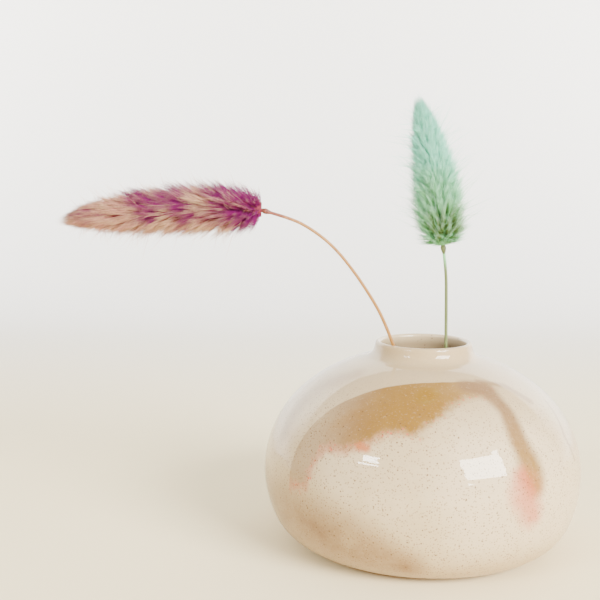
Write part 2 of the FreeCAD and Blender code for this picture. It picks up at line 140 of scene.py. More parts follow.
class HeadSizes(bpy.types.PropertyGroup):
    hair_radius: length("Hair radius", "Radius of a hair at its root", 0.068)
    wisp_radius: length("Wisp radius", "Radius of a stray long hair", 0.080)
    rose_tufts: count("Rose tufts", "Husks on the rose head", 1000)
    green_tufts: count("Green tufts", "Husks on the green head", 860)
    tuft_hairs: count("Hairs in a tuft", "Hairs that each husk carries", 22)
    wisps: count("Wisps", "Stray long hairs on each head", 420)


class StageSizes(bpy.types.PropertyGroup):
    lens: amount("Lens", "Focal length on a 36 mm sensor", 60.0)
    window: amount("Window", "Power of the window light in watts", 84.0)
    fill: amount("Fill", "Power of each light on the backdrop in watts", 32.0)
    sky: amount("Sky", "Strength of the even surrounding light", 1.12)
    floor: colour("Floor", "Pale table", 0.90, 0.77, 0.47)
    wall: colour("Wall", "Pale backdrop", 0.90, 0.88, 0.84)


# ------------------------------------------------------------------ shader helpers

class Value:
    """A number socket that takes part in ordinary arithmetic."""

    def __init__(self, shader, socket):
        self.shader = shader
        self.socket = socket

    def math(self, operation, *others, clamp=False):
        """Add a Math node that takes this value and the others."""
        values = {i: getattr(o, "socket", o) for i, o in enumerate((self, *others))}
        node = self.shader.node("ShaderNodeMath", {"operation": operation, "use_clamp": clamp}, values)
        return Value(self.shader, node.outputs[0])

    def __add__(self, other):
        return self.math("ADD", other)

    def __sub__(self, other):
        return self.math("SUBTRACT", other)

    def __mul__(self, other):
        return self.math("MULTIPLY", other)

    def __pow__(self, other):
        return self.math("POWER", other)

    def __rsub__(self, other):
        return (self * -1.0) + other

    __radd__ = __add__
    __rmul__ = __mul__

    def clamped(self):
        """The same value held between 0 and 1."""
        return self.math("ADD", 0.0, clamp=True)

    def smooth(self, low, high):
        """0 at low and 1 at high, easing in and out; low may be the larger."""
        settings = {"interpolation_type": "SMOOTHSTEP", "clamp": True}
        if low < high:
            node = self.shader.node("ShaderNodeMapRange", settings, {0: self.socket, 1: low, 2: high})
            return Value(self.shader, node.outputs[0])
        node = self.shader.node("ShaderNodeMapRange", settings, {0: self.socket, 1: high, 2: low})
        return 1.0 - Value(self.shader, node.outputs[0])


class Shader:
    """One material and the nodes that make it."""

    def __init__(self, name):
        self.material = bpy.data.materials.new(name)
        self.material.use_nodes = True
        self.tree = self.material.node_tree
        self.surface = self.tree.nodes["Principled BSDF"]
        self.place = self.node("ShaderNodeTexCoord").outputs["Object"]

    def node(self, kind, settings=None, sockets=None):
        """Make a node, then its settings, then the values or links of its sockets."""
        node = self.tree.nodes.new(kind)
        for name, value in (settings or {}).items():
            setattr(node, name, value)
        for name, value in (sockets or {}).items():
            self.feed(node.inputs[name], value)
        return node

    def feed(self, socket, value):
        """Link a socket, or set its own value."""
        value = getattr(value, "socket", value)
        if isinstance(value, bpy.types.NodeSocket):
            self.tree.links.new(value, socket)
        else:
            socket.default_value = value

    def stretched(self, factors, place=None):
        """Coordinates scaled along each axis."""
        return self.node("ShaderNodeVectorMath", {"operation": "MULTIPLY"},
                         {0: place or self.place, 1: factors}).outputs[0]

    def noise(self, scale, detail=3.0, roughness=0.5, place=None):
        """Smooth random value about 0.5."""
        sockets = {"Vector": place or self.place, "Scale": scale, "Detail": detail,
                   "Roughness": roughness}
        return Value(self, self.node("ShaderNodeTexNoise", None, sockets).outputs["Fac"])

    def specks(self, scale, size, share):
        """Round specks: 1 inside, 0 outside, in only a share of the cells."""
        cells = self.node("ShaderNodeTexVoronoi", {"feature": "F1"},
                          {"Vector": self.place, "Scale": scale})
        chance = Value(self, self.node("ShaderNodeSeparateColor", None,
                                       {"Color": cells.outputs["Color"]}).outputs["Red"])
        near = Value(self, cells.outputs["Distance"])
        return near.smooth(size, size * 0.45) * chance.smooth(1.0 - share, 1.0 - share * 0.6)

    def attribute(self, name):
        """A number stored on the mesh."""
        node = self.node("ShaderNodeAttribute", {"attribute_name": name})
        return Value(self, node.outputs["Fac"])

    def mix(self, first, second, factor):
        """Blend two colours."""
        node = self.node("ShaderNodeMix", {"data_type": "RGBA"},
                         {0: factor, 6: shade(first), 7: shade(second)})
        return node.outputs[2]

    def bump(self, height, distance, strength=1.0):
        """Feed the surface's normal from a height."""
        node = self.node("ShaderNodeBump", None,
                         {"Height": height, "Distance": distance, "Strength": strength})
        self.feed(self.surface.inputs["Normal"], node.outputs[0])

    def finish(self, **values):
        """Set the surface's own sockets."""
        for name, value in values.items():
            self.feed(self.surface.inputs[name.replace("_", " ")], value)
        return self.material


def shade(value):
    """A colour setting with its alpha, or a socket as it is."""
    if isinstance(value, (bpy.types.NodeSocket, Value)):
        return value
    return (*value, 1.0)


# ------------------------------------------------------------------ mesh helpers

def new_piece(name, vertices, faces, material, body, slot, *nodes):
    """A smooth mesh piece that rides on a body and stands for its CAD nodes."""
    mesh = bpy.data.meshes.new(name)
    mesh.from_pydata([tuple(v) for v in vertices], [], faces)
    mesh.validate()
    mesh.polygons.foreach_set("use_smooth", [True] * len(mesh.polygons))
    mesh.set_sharp_from_angle(angle=math.radians(50))
    return adopt(mesh, name, material, body, slot, *nodes)


def adopt(mesh, name, material, body, slot, *nodes):
    """Link a finished mesh as a piece of the object."""
    piece = bpy.data.objects.new(name, mesh)
    bpy.context.scene.collection.objects.link(piece)
    mesh.materials.clear()
    mesh.materials.append(material)
    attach(piece, body)
    if nodes:
        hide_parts(*nodes)
    return piece


def store(mesh, name, values):
    """Keep one number for each vertex under a name."""
    layer = mesh.attributes.new(name, "FLOAT", "POINT")
    layer.data.foreach_set("value", np.asarray(values, np.float32))


def polar(radius, angle):
    """A point of the profile plane, outward and up."""
    return np.array([radius * math.cos(angle), radius * math.sin(angle)])


def arc(centre, radius, first, last, step=0.65 * MM):
    """Points along an arc, without its last one."""
    steps = max(3, int(abs(last - first) * radius / step))
    return [centre + polar(radius, first + (last - first) * k / steps) for k in range(steps)]


def run(first, last, step=0.8 * MM):
    """Points along a straight run, without its last one."""
    first, last = np.asarray(first), np.asarray(last)
    steps = max(1, int(np.linalg.norm(last - first) / step))
    return [first + (last - first) * k / steps for k in range(steps)]


def facing(centre, point):
    """Angle of a point seen from a centre."""
    return math.atan2(point[1] - centre[1], point[0] - centre[0])


def lathe(outline, around, shape=None):
    """Vertices and faces of an outline turned round Z; ends on the axis become poles.

    An outline that doesn't reach the axis is closed into a ring. shape moves the vertices.
    """
    turn = np.linspace(0, 2 * math.pi, around, endpoint=False)
    rows, vertices = [], []
    for radius, height in outline:
        if radius < 1e-7:
            rows.append([len(vertices)] * around)
            vertices.append((0.0, 0.0, height))
        else:
            rows.append(list(range(len(vertices), len(vertices) + around)))
            vertices += [(radius * math.sin(a), -radius * math.cos(a), height) for a in turn]
    if outline[0][0] > 1e-7:
        rows.append(rows[0])
    faces = []
    for low, high in zip(rows, rows[1:]):
        for k in range(around):
            n = (k + 1) % around
            corners = [low[k], low[n], high[n], high[k]]
            corners = list(dict.fromkeys(corners))
            if len(corners) > 2:
                faces.append(corners)
    vertices = np.array(vertices)
    return (shape(vertices) if shape else vertices), faces


# ------------------------------------------------------------------ vase profile

class Profile:
    """The wall's outline: arcs that share their centres inside and out."""

    def __init__(self, s):
        self.s = s
        self.lean = math.radians(10)
        self.tuck = math.radians(22)
        self.rise = math.radians(48)
        self.belly = np.array([s.body_radius - s.belly_round, s.belly_height])
        self.shoulder = np.array([s.body_radius - s.shoulder_round, s.belly_height])
        self.under = self.belly + polar(s.belly_round - s.underside_round, -self.tuck)
        self.crown = self.shoulder + polar(s.shoulder_round - s.crown_round, self.rise)
        self.lip = np.array([s.lip_radius, s.rim_height - s.lip_round])
        self.out = polar(1.0, self.lean)

    def fillet(self, across, reach):
        """Centre of the round between the leaning collar and the crown."""
        down = np.array([self.out[1], -self.out[0]])
        start = self.lip + self.out * across
        gap = start - self.crown
        half = gap @ down
        root = math.sqrt(half ** 2 - gap @ gap + reach ** 2)
        below = -half - root
        return start + down * (below if below > 0 else -half + root)

    def outside(self, depth):
        """Points of the outside, a depth under the skin, from the glaze line to the lip."""
        s = self.s
        rounds = s.underside_round - depth
        drop = self.under[1] - s.glaze_line
        start = -math.asin(drop / rounds)
        knee = self.fillet(s.lip_round + s.neck_fillet, s.crown_round + s.neck_fillet)
        toward = facing(knee, self.crown)
        points = arc(self.under, rounds, start, -self.tuck)
        points += arc(self.belly, s.belly_round - depth, -self.tuck, 0.0)
        points += arc(self.shoulder, s.shoulder_round - depth, 0.0, self.rise)
        points += arc(self.crown, s.crown_round - depth, self.rise, facing(self.crown, knee))
        fillet = s.neck_fillet + depth
        points += arc(knee, fillet, toward % (2 * math.pi), math.pi + self.lean, 0.3 * MM)
        points += run(knee - self.out * fillet, self.lip + self.out * (s.lip_round - depth), 0.4 * MM)
        return points

    def over_lip(self, depth, first, last):
        """Points over the rounded lip, from one height angle to another, both included."""
        return arc(self.lip, self.s.lip_round - depth, first, last, 0.16 * MM) + [
            self.lip + polar(self.s.lip_round - depth, last)]

    def lip_outside(self, depth):
        """Points from the collar up to the lip's crest."""
        return self.over_lip(depth, self.lean, math.pi / 2)

    def lip_inside(self, depth):
        """Points from the lip's crest to the throat."""
        return self.over_lip(depth, math.pi / 2, math.pi + self.lean)[:-1]

    def inside(self, depth, step):
        """Points of the cavity, a depth behind its skin, from the lip to the floor's middle."""
        s = self.s
        inset = s.wall - depth
        knee = self.fillet(s.throat_fillet - s.lip_round,
                           s.crown_round - s.wall + s.throat_fillet)
        fillet = s.throat_fillet - depth
        toward = facing(knee, self.crown) % (2 * math.pi)
        points = run(self.lip - self.out * (s.lip_round - depth), knee - self.out * fillet, step)
        points += arc(knee, fillet, math.pi + self.lean, toward, step)
        points += arc(self.crown, s.crown_round - inset, facing(self.crown, knee), self.rise, step)
        points += arc(self.shoulder, s.shoulder_round - inset, self.rise, 0.0, step)
        points += arc(self.belly, s.belly_round - inset, 0.0, -self.tuck, step)
        points += arc(self.under, s.underside_round - inset, -self.tuck, -math.pi / 2, step)
        floor = self.under[1] - (s.underside_round - inset)
        points += run((self.under[0], floor), (0.0, floor), step * 2)
        return points + [np.array([0.0, floor])]


def thrown(vertices, ridge=0.0):
    """Give a lathe's vertices the slight unevenness of a pot thrown by hand."""
    height = np.clip(vertices[:, 2] / RIM_HEIGHT, 0, 1)
    swell = np.sin(height * math.pi)
    turn = np.arctan2(vertices[:, 0], -vertices[:, 1])
    radius = np.hypot(vertices[:, 0], vertices[:, 1])
    change = swell * (0.0030 * np.cos(2 * turn + 0.6) + 0.0020 * np.cos(3 * turn + 2.1))
    low_left = np.exp(-((vertices[:, 2] - 20 * MM) / (15 * MM)) ** 2) * np.cos(turn + 1.7).clip(0) ** 2
    change = change + low_left * 0.014
    rings = np.sin((vertices[:, 2] / (2.4 * MM) + turn / (2 * math.pi)) * 2 * math.pi)
    grow = 1 + change + rings * swell * ridge / np.maximum(radius, 1 * MM)
    vertices[:, 0] *= grow
    vertices[:, 1] *= grow
    return vertices


# ------------------------------------------------------------------ glaze marks
# Places on the outside: direction from the front in degrees and distance up the wall from
# the glaze line in millimetres. A stroke's third number is its half-width in millimetres.

def arch(middle, half, base, rise, power, points=40):
    """An edge that climbs, runs nearly level and falls: a squared-off half ellipse."""
    turn = np.linspace(math.pi, 0.0, points)
    across = np.sign(np.cos(turn)) * np.abs(np.cos(turn)) ** (2 / power)
    up = np.abs(np.sin(turn)) ** (2 / power)
    return [(middle + half * a, base + rise * u) for a, u in zip(across, up)]


def stepped(start, steps, reach=100, points=101):
    """An edge that climbs in soft steps: where each begins and ends, and how far it climbs."""
    turn = np.linspace(-reach, reach, points)
    up = np.full(points, float(start))
    for low, high, climb in steps:
        share = ((turn - low) / (high - low)).clip(0, 1)
        up += climb * share * share * (3 - 2 * share)
    return list(zip(turn, up))


CREST = [(-57.5, 0)] + arch(8, 65.5, 30, 38.5, 2.5)
HEM = stepped(27, [(-49, -43, 14), (-38, -14, 7), (-12, 16, 13), (24, 58, 12)])
RUN = [(20, 66, 3.0), (30, 64, 3.6), (32.5, 55, 2.9), (31, 45, 3.4), (32.5, 37, 4.8), (33.5, 32, 4.2)]
BRANCH = [(30, 68, 1.0), (46, 64, 1.4), (53, 56, 1.3)]
THREAD = [(68, 54, 0.6), (60, 42, 1.0), (62, 34, 0.6)]
HAZE = [(-58, 68, 3.6), (-71, 60, 5.6), (-72, 51, 4.8), (-70, 41, 3.4)]
# Painted shade over the lower left of the body, given as strokes like the marks.
LOWER_LEFT_SHADE = [(-105, 14, 9), (-80, 16, 12), (-55, 17, 14), (-34, 15, 11), (-12, 9, 6)]
BLUSH = [(28.5, 35, 4.2), (29.5, 30, 7.0), (32, 24, 4.8)]
SPOT = [(-29.5, 43.5, 1.6), (-26.5, 43, 1.5)]


class Skin:
    """The outside skin as a map from direction and distance up the wall to places.

    The front's marks are mirrored on the back.
    """

    def __init__(self, outline, vertices):
        self.points = np.array(outline)
        steps = np.linalg.norm(np.diff(self.points, axis=0), axis=1)
        self.up = np.concatenate([[0.0], np.cumsum(steps)]) / MM
        self.vertices = vertices * (1, 0, 1) - np.abs(vertices * (0, 1, 0))

    def place(self, marks, steps):
        """Points in space of a dense run between marks, and the marks' own numbers there."""
        dense = [np.array(a, float) + (np.array(b, float) - np.array(a, float)) * k / steps
                 for a, b in zip(marks, marks[1:]) for k in range(steps)]
        dense = np.array(dense + [np.array(marks[-1], float)])
        radius = np.interp(dense[:, 1], self.up, self.points[:, 0])
        height = np.interp(dense[:, 1], self.up, self.points[:, 1])
        angle = np.radians(dense[:, 0])
        return np.stack([radius * np.sin(angle), -radius * np.cos(angle), height], -1), dense

    def legs(self, marks, steps):
        """For each leg of a run: every vertex's distance from it, its share along, its number."""
        path, dense = self.place(marks, steps)
        for k in range(len(path) - 1):
            leg = path[k + 1] - path[k]
            share = np.clip((self.vertices - path[k]) @ leg / (leg @ leg), 0, 1)
            off = np.linalg.norm(self.vertices - path[k] - share[:, None] * leg, axis=1) / MM
            yield off, share, k, dense

    def stroke(self, marks):
        """How far each vertex lies from a stroke: 0 in its middle and 1 at its edge.

        The second result runs from 0 at the stroke's start to 1 at its end.
        """
        best = np.full(len(self.vertices), FAR)
        along = np.zeros(len(self.vertices))
        for off, share, k, dense in self.legs(marks, 6):
            ratio = off / (dense[k, 2] + share * (dense[k + 1, 2] - dense[k, 2]))
            along = np.where(ratio < best, (k + share) / (len(dense) - 1), along)
            best = np.minimum(best, ratio)
        return best, along

    def below(self, edge):
        """Distance of each vertex below an edge in millimetres, negative above it."""
        gap = np.full(len(self.vertices), 3 * FAR)
        for off, _, _, _ in self.legs(edge, 1):
            gap = np.minimum(gap, off)
        turn = np.degrees(np.arctan2(self.vertices[:, 0], -self.vertices[:, 1]))
        up = np.interp(self.vertices[:, 2], self.points[:, 1], self.up)
        outline = np.array(list(edge) + [(edge[-1][0], -5), (edge[0][0], -5)], float)
        inside = np.zeros(len(turn), bool)
        for (a, b), (c, d) in zip(outline, np.roll(outline, -1, 0)):
            if a != c:
                spans = (a > turn) != (c > turn)
                inside ^= spans & (up < b + (d - b) * (turn - a) / (c - a))
        return np.where(inside, gap, -gap)


def glaze_material(c):
    """Cream glaze with an iron crescent, thin runs, a pink blush and specks, under a clear gloss, and
    painted shade at the foot and on the lower left.
    """
    sh = Shader("glaze_coat")
    cloud = sh.noise(26.0, 4.0, 0.55)
    fine = sh.noise(420.0, 3.0, 0.6)
    grain = sh.noise(1600.0, 2.0, 0.6)
    ragged = sh.noise(95.0, 4.0, 0.6) - 0.5
    height = Value(sh, sh.node("ShaderNodeSeparateXYZ", None, {0: sh.place}).outputs["Z"])

    base = sh.mix(c.cream, c.shell, cloud.smooth(0.38, 0.62))
    upper = height.smooth(0.040, 0.060) * (0.35 + cloud * 0.5)
    base = sh.mix(base, c.sand, upper.clamped())
    # Painted shade: warmer and darker towards the foot, low on the wall near the floor.
    foot_shade = height.smooth(0.016, 0.002) * (0.75 + ragged)
    base = sh.mix(base, c.sand, foot_shade.clamped())

    haze = (sh.attribute("haze") + ragged * 0.9).smooth(1.5, 0.1)
    base = sh.mix(base, c.sand, haze * 0.8)
    base = sh.mix(base, c.umber, (haze * (0.25 + ragged)).clamped())
    # Painted shade on the lower left of the body, where the pot turns away from the light.
    lower_left_shade = (sh.attribute("lower_left_shade") + ragged * 0.8).smooth(1.5, 0.1)
    base = sh.mix(base, c.sand, lower_left_shade * 0.9)
    base = sh.mix(base, c.umber, (lower_left_shade * (0.50 + ragged * 2.0)).clamped())

    along = sh.attribute("crescent_along")
    top = (sh.attribute("crest") + ragged * 0.8).smooth(-0.25, 0.35)
    low = (sh.attribute("hem") + ragged * 7.0 + (fine - 0.5) * 5.0).smooth(-2.4, 2.6)
    thick = top * low
    warm = sh.mix(c.ochre, c.umber, (along.smooth(0.42, 0.08) * 0.7 + ragged * 0.9).clamped())
    warm = sh.mix(warm, c.sand, (along.smooth(0.60, 1.0) * 0.6).clamped())
    lobe = along.smooth(0.02, 0.32) * 0.45 + 0.53
    base = sh.mix(base, warm, (thick * (lobe + ragged * 0.4)).clamped())
    edge = low * (1.0 - low) * top * 4.0
    dotted = edge * sh.specks(900.0, 0.45, 0.5) * 0.8
    base = sh.mix(base, c.rose, (dotted + edge * along.smooth(0.6, 0.1) * 0.3).clamped())

    line = sh.attribute("run") + ragged * 0.5
    tint = sh.mix(c.umber, c.ochre, sh.attribute("run_along").smooth(0.3, 0.9))
    base = sh.mix(base, tint, (line.smooth(1.45, 0.35) * (0.78 + fine * 0.25)).clamped())
    thin = (sh.attribute("thread") + ragged * 0.6).smooth(1.5, 0.2)
    base = sh.mix(base, c.umber, thin * 0.55)

    pool = sh.attribute("blush") + ragged * 0.8 + (fine - 0.5) * 0.5
    base = sh.mix(base, c.rose, pool.smooth(1.3, 0.1) * 0.72)

    spot = (sh.attribute("spot") + ragged * 0.6).smooth(1.3, 0.2)
    base = sh.mix(base, c.ember, spot * 0.85)

    many = sh.specks(1500.0, 0.40, 0.8)
    few = sh.specks(760.0, 0.24, 0.45)
    body = height.smooth(0.060, 0.044) * 0.9 + 0.1
    base = sh.mix(base, c.umber, (many * body * 0.72).clamped())
    base = sh.mix(base, c.speck, (few * body * 0.85).clamped())
    base = sh.mix(base, c.shell, (grain.smooth(0.55, 0.75) * 0.18).clamped())

    sh.bump(sh.noise(240.0, 2.0, 0.5), 0.00003, 0.35)
    return sh.finish(Base_Color=base, Roughness=0.45, Specular_IOR_Level=0.05, Coat_Weight=0.85,
                     Coat_Roughness=0.02, Coat_IOR=1.46)


def inside_material(c):
    """The inside glaze: cream at the lip, with painted shade that turns it warmer and darker down the
    throat.
    """
    sh = Shader("glaze_inside")
    cloud = sh.noise(40.0, 4.0, 0.55)
    height = Value(sh, sh.node("ShaderNodeSeparateXYZ", None, {0: sh.place}).outputs["Z"])
    base = sh.mix(c.cream, c.shell, cloud.smooth(0.4, 0.6))
    # Painted shade inside the neck, deepening below the lip.
    throat_shade = height.smooth(0.0634, 0.0605) * (0.75 + (cloud - 0.5) * 0.5)
    base = sh.mix(base, c.throat, throat_shade.clamped())
    base = sh.mix(base, c.speck, sh.specks(900.0, 0.28, 0.3) * 0.6)
    sh.bump(sh.noise(240.0, 2.0, 0.5), 0.00003, 0.35)
    return sh.finish(Base_Color=base, Roughness=0.32 + cloud * 0.1, Coat_Weight=0.6, Coat_Roughness=0.05)


def clay_material(c):
    """Bare toasted stoneware with sand and iron specks."""
    sh = Shader("bare_clay")
    cloud = sh.noise(60.0, 4.0, 0.6)
    sand = sh.noise(1500.0, 3.0, 0.7)
    base = sh.mix(c.clay, c.cream, cloud.smooth(0.4, 0.75) * 0.5)
    base = sh.mix(base, c.speck, sh.specks(600.0, 0.28, 0.3) * 0.7)
    sh.bump(sand, 0.00012, 0.7)
    return sh.finish(Base_Color=base, Roughness=0.78 + sand * 0.15)


class BUDVASE_OT_glaze(bpy.types.Operator):
    """Make the glaze coat, outside, over the lip and inside"""
    bl_idname = "budvase.glaze"
    bl_label = "Glaze Coat"

    def execute(self, context):
        s = context.scene.bud_vase
        profile = Profile(s)
        outside = profile.outside(0.0)
        outer = outside + profile.lip_outside(0.0)
        outer += (profile.outside(s.glaze)[::3] + profile.lip_outside(s.glaze))[::-1]
        vertices, faces = lathe(outer, s.around)
        self.wander(vertices, profile)
        marks = self.fields(Skin(outside, vertices))
        vertices = thrown(vertices, s.throwing_ring)
        colours = context.scene.glaze_colours
        piece = new_piece("outside_coat", vertices, faces, glaze_material(colours), "vase",
                          "outside_glaze", "outer_glaze")
        for name, values in marks.items():
            store(piece.data, name, values)
        inner = profile.lip_inside(0.0) + profile.inside(0.0, 1.2 * MM)
        inner += (profile.lip_inside(s.glaze) + profile.inside(s.glaze, 2.5 * MM))[::-1]
        vertices, faces = lathe(inner, s.around, thrown)
        new_piece("inside_coat", vertices, faces, inside_material(colours), "vase",
                  "inside_glaze", "inner_glaze")
        return {"FINISHED"}

    def wander(self, vertices, profile):
        """Let the glaze's lower edge wander up and down the wall."""
        chosen = vertices[:, 2] < 8 * MM
        turn = np.arctan2(vertices[:, 0], -vertices[:, 1])
        wave = 0.4 * np.sin(3 * turn + 1.0) + 0.35 * np.sin(7 * turn) + 0.25 * np.sin(13 * turn + 2.0)
        centre = profile.under
        radius = np.hypot(vertices[:, 0], vertices[:, 1])
        reach = np.hypot(radius - centre[0], vertices[:, 2] - centre[1])
        angle = np.arctan2(vertices[:, 2] - centre[1], radius - centre[0])
        fade = np.clip(1 - (vertices[:, 2] - 1.8 * MM) / (5 * MM), 0, 1)
        angle = angle + wave * fade * 0.035
        new_radius = centre[0] + reach * np.cos(angle)
        new_height = centre[1] + reach * np.sin(angle)
        scale = np.where(chosen, new_radius / radius.clip(1e-6), 1.0)
        vertices[:, 0] *= scale
        vertices[:, 1] *= scale
        vertices[:, 2] = np.where(chosen, new_height, vertices[:, 2])

    def fields(self, skin):
        """The marks' fields: numbers on every vertex."""
        line, line_along = skin.stroke(RUN)
        crest, hem = skin.below(CREST), -skin.below(HEM)
        along = np.degrees(np.arctan2(skin.vertices[:, 0], -skin.vertices[:, 1])) / 95 + 0.6
        fields = {"crest": crest, "hem": hem, "crescent_along": along.clip(0, 1), "run": line,
                  "run_along": line_along}
        for name, strokes in (("thread", (BRANCH, THREAD)), ("haze", (HAZE,)), ("lower_left_shade", (LOWER_LEFT_SHADE,)),
                              ("blush", (BLUSH,)), ("spot", (SPOT,))):
            fields[name] = np.minimum.reduce([skin.stroke(marks)[0] for marks in strokes])
        return fields


class BUDVASE_OT_clay(bpy.types.Operator):
    """Make the bare stoneware wall with its trimmed foot ring"""
    bl_idname = "budvase.clay"
    bl_label = "Stoneware Body"

    def execute(self, context):
        s = context.scene.bud_vase
        profile = Profile(s)
        under = profile.under
        clay_round = s.underside_round - s.glaze
        ring_top = FOOT_RADIUS + 0.9 * MM
        meet = np.array([ring_top, under[1] - math.sqrt(clay_round ** 2 - (ring_top - under[0]) ** 2)])
        first = facing(under, meet)
        last = -math.asin((under[1] - s.glaze_line) / clay_round)
        gap = s.glaze * 1.1
        foot = [(0.0, 1.3 * MM)]
        foot += [(r * MM, 1.3 * MM) for r in range(3, 27, 3)]
        foot += [(26.7 * MM, 1.3 * MM), (27.1 * MM, 1.2 * MM), (27.9 * MM, 0.12 * MM),
                 (28.15 * MM, 0.0), (29.0 * MM, 0.0), (30.0 * MM, 0.0), (31.0 * MM, 0.0),
                 (31.85 * MM, 0.0), (32.1 * MM, 0.12 * MM), tuple(meet - (0.1 * MM, 0.12 * MM))]
        wall = arc(under, clay_round, first, last, 0.5 * MM)
        outline = foot + wall + profile.outside(gap)[::3] + profile.lip_outside(gap)
        outline += profile.lip_inside(gap)[1:] + profile.inside(gap, 2.5 * MM)
        vertices, faces = lathe(outline, 192, thrown)
        material = clay_material(context.scene.glaze_colours)
        new_piece("stoneware_wall", vertices, faces, material, "vase", "stoneware", "stoneware_body")
        return {"FINISHED"}


# ------------------------------------------------------------------ stems

# Each culm runs straight from its foot past its seat on the lip, then over these points,
# measured from the seat in millimetres.
ROUTES = {
    "rose": {"below_lip": 65.0, "straight": 9.5,
             "bends": [(-7.4, -3.7, 15.4), (-13.0, -5.25, 23.7), (-19.6, -6.75, 31.6),
                       (-27.2, -8.0, 37.2), (-33.0, -8.8, 39.7), (-38.1, -9.3, 41.1)]},
    "green": {"below_lip": 58.7, "straight": 19.0, "bends": [(-1.0, -2.75, 24.6), (-1.8, -3.15, 30.0)]},
}
STRAIGHT_RUNS = (0.45, 0.8)     # shares of the straight run that also hold control points


def joint_axis(body):
    """Unit direction of the joint that carries a body."""
    joint = next(j for j in frame["joints"] if j["child"] == body)
    return Vector(joint["axis"]).normalized()


def foot_centre(node, axis):
    """Middle of a culm's cut end."""
    points = [Vector(v.co) for v in frame["nodes"][node].data.vertices]
    low = min(p.dot(axis) for p in points)
    end = [p for p in points if p.dot(axis) < low + 0.05 * MM]
    return sum(end, Vector()) / len(end)


def rod_ends(node, start_near):
    """Middles of a straight rod's two ends, the one nearer a point first."""
    points = np.array([v.co for v in frame["nodes"][node].data.vertices])
    middle = points.mean(0)
    main = np.linalg.svd(points - middle)[2][0]
    place = (points - middle) @ main
    ends = [Vector(points[place < place.min() + 0.2 * MM].mean(0)),
            Vector(points[place > place.max() - 0.2 * MM].mean(0))]
    return sorted(ends, key=lambda end: (end - start_near).length)


def smooth_line(points, name):
    """Points along a NURBS line that has these control points."""
    curve = bpy.data.curves.new(name, "CURVE")
    curve.dimensions = "3D"
    curve.resolution_u = 10
    spline = curve.splines.new("NURBS")
    spline.points.add(len(points) - 1)
    for place, point in zip(spline.points, points):
        place.co = (*point, 1.0)
    spline.order_u = 3
    spline.use_endpoint_u = True
    holder = bpy.data.objects.new(name, curve)
    mesh = bpy.data.meshes.new_from_object(holder)
    line = [Vector(v.co) for v in mesh.vertices]
    bpy.data.objects.remove(holder)
    bpy.data.curves.remove(curve)
    bpy.data.meshes.remove(mesh)
    return line


def even_line(line, step):
    """The same line with points at even distances."""
    points = np.array([tuple(p) for p in line])
    far = np.concatenate([[0], np.cumsum(np.linalg.norm(np.diff(points, axis=0), axis=1))])
    places = np.linspace(0, far[-1], max(2, int(far[-1] / step)) + 1)
    return np.stack([np.interp(places, far, points[:, k]) for k in range(3)], 1), places


def tube(points, radii, sides, hollow=0.0):
    """A closed tube round a line, with a pith hole in its first end if hollow is set."""
    heading = np.gradient(points, axis=0)
    heading /= np.linalg.norm(heading, axis=1)[:, None]
    side = np.cross(heading[0], [0.31, 0.95, 0.1])
    rows, vertices = [], []
    for point, ahead, radius in zip(points, heading, radii):
        side = side - ahead * (side @ ahead)
        side /= np.linalg.norm(side)
        up = np.cross(ahead, side)
        ring = [point + radius * (math.cos(a) * side + math.sin(a) * up)
                for a in np.linspace(0, 2 * math.pi, sides, endpoint=False)]
        rows.append(range(len(vertices), len(vertices) + sides))
        vertices += ring
    faces = []
    for low, high in zip(rows, rows[1:]):
        faces += [(low[k], low[(k + 1) % sides], high[(k + 1) % sides], high[k]) for k in range(sides)]
    if hollow:
        faces += pith_hole(vertices, rows[0], points[0], heading[0], hollow)
    else:
        faces.append(tuple(reversed(rows[0])))
    faces.append(tuple(rows[-1]))
    return np.array(vertices), faces


def pith_hole(vertices, rim, centre, ahead, hollow):
    """Sink a narrow hole into a straw's cut end."""
    sides = len(rim)
    faces, before = [], list(rim)
    for share, depth in ((hollow, 0.0), (hollow * 0.9, 1.2 * MM)):
        ring = [centre + (vertices[k] - centre) * share + ahead * depth for k in rim]
        now = list(range(len(vertices), len(vertices) + sides))
        vertices += ring
        faces += [(before[(k + 1) % sides], before[k], now[k], now[(k + 1) % sides])
                  for k in range(sides)]
        before = now
    faces.append(tuple(reversed(before)))
    return faces


def straw_material(name, colour_low, colour_high, top):
    """Dried straw: fine ribs along it and a change of tone towards the head."""
    sh = Shader(name)
    fibre = sh.noise(900.0, 3.0, 0.6, sh.stretched((1.0, 1.0, 0.06)))
    blot = sh.noise(160.0, 3.0, 0.6)
    share = sh.attribute("up").smooth(top, 1.0)
    base = sh.mix(colour_low, colour_high, share)
    pale = tuple(min(1.0, x * 1.35 + 0.04) for x in colour_low)
    base = sh.mix(base, pale, (fibre.smooth(0.45, 0.7) * 0.5).clamped())
    dark = tuple(x * 0.45 for x in colour_high)
    base = sh.mix(base, dark, (blot.smooth(0.58, 0.72) * 0.35).clamped())
    sh.bump(fibre, 0.00004, 0.6)
    return sh.finish(Base_Color=base, Roughness=0.50)


def node_material(name, tone, dark):
    """Swollen collar skin with dark blotches."""
    sh = Shader(name)
    blot = sh.noise(1100.0, 3.0, 0.6)
    base = sh.mix(tone, dark, blot.smooth(0.48, 0.62))
    sh.bump(sh.noise(1500.0, 2.0, 0.5), 0.00006, 0.6)
    return sh.finish(Base_Color=base, Roughness=0.55)


